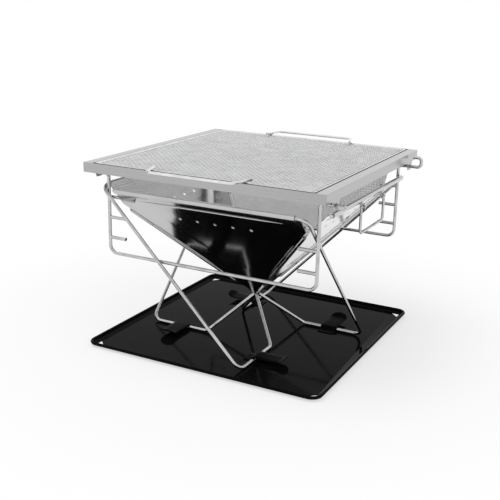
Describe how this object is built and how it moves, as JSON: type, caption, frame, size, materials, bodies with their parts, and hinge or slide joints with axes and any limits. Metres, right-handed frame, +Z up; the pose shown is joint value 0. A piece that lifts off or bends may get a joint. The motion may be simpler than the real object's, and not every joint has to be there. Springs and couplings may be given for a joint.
{
  "type": "folding charcoal grill",
  "caption": "Folding charcoal grill: hinged steel panels on wire legs form an inverted pyramid fire pit over a black tray, under a frame with wire stands and a cooking net.",
  "frame": {"origin": "middle of the base plate's flat underside, on the table", "axes": "+X to the grill's right, where the carry handle hangs, -Y to its front, +Z up"},
  "size_m": [0.3911, 0.4074, 0.2792],
  "materials": {
    "polished_steel": "mirror polished stainless sheet",
    "brushed_steel": "brushed stainless sheet",
    "bright_wire": "bright drawn stainless wire",
    "net_wire": "satin plated wire",
    "black_gloss": "gloss black coating"
  },
  "bodies": {
    "tray": {"base_plate": "black_gloss", "foot_clip_front": "black_gloss", "foot_clip_right": "black_gloss", "foot_clip_back": "black_gloss", "foot_clip_left": "black_gloss"},
    "fire_pit": {"panel_front": "polished_steel", "panel_right": "polished_steel", "panel_back": "polished_steel", "panel_left": "polished_steel", "leg_rod_front": "bright_wire", "leg_rod_right": "bright_wire", "leg_rod_back": "bright_wire", "leg_rod_left": "bright_wire", "hinge_pin_front_right": "bright_wire", "hinge_pin_right_back": "bright_wire", "hinge_pin_back_left": "bright_wire", "hinge_pin_left_front": "bright_wire"},
    "bail": {"bail_handle": "bright_wire"},
    "bridge": {"front_rail": "brushed_steel", "rear_rail": "brushed_steel", "left_rail": "brushed_steel", "right_rail": "brushed_steel"},
    "stand_front": {"front_stand": "bright_wire"},
    "stand_rear": {"rear_stand": "bright_wire"},
    "net": {"net_border": "net_wire", "net_mesh": "net_wire", "net_front_handle": "bright_wire", "net_rear_handle": "bright_wire"}
  },
  "joints": [
    {"name": "pit_twist", "type": "hinge", "parent": "tray", "child": "fire_pit", "pos_m": [0, 0, 0], "axis": [0, 0, 1], "range_deg": [0, 20]},
    {"name": "bail_swing", "type": "hinge", "parent": "fire_pit", "child": "bail", "pos_m": [0.178, 0, 0.2298], "axis": [0, -1, 0], "range_deg": [-30, 90]},
    {"name": "bridge_lift", "type": "slide", "parent": "fire_pit", "child": "bridge", "axis": [0, 0, 1], "range_m": [0, 0.008]},
    {"name": "front_stand_swing", "type": "hinge", "parent": "bridge", "child": "stand_front", "pos_m": [0, -0.1475, 0.254], "axis": [1, 0, 0], "range_deg": [0, 4]},
    {"name": "rear_stand_swing", "type": "hinge", "parent": "bridge", "child": "stand_rear", "pos_m": [0, 0.1475, 0.254], "axis": [-1, 0, 0], "range_deg": [0, 4]},
    {"name": "net_lift", "type": "slide", "parent": "bridge", "child": "net", "axis": [0, 0, 1], "range_m": [0, 0.08]}
  ]
}
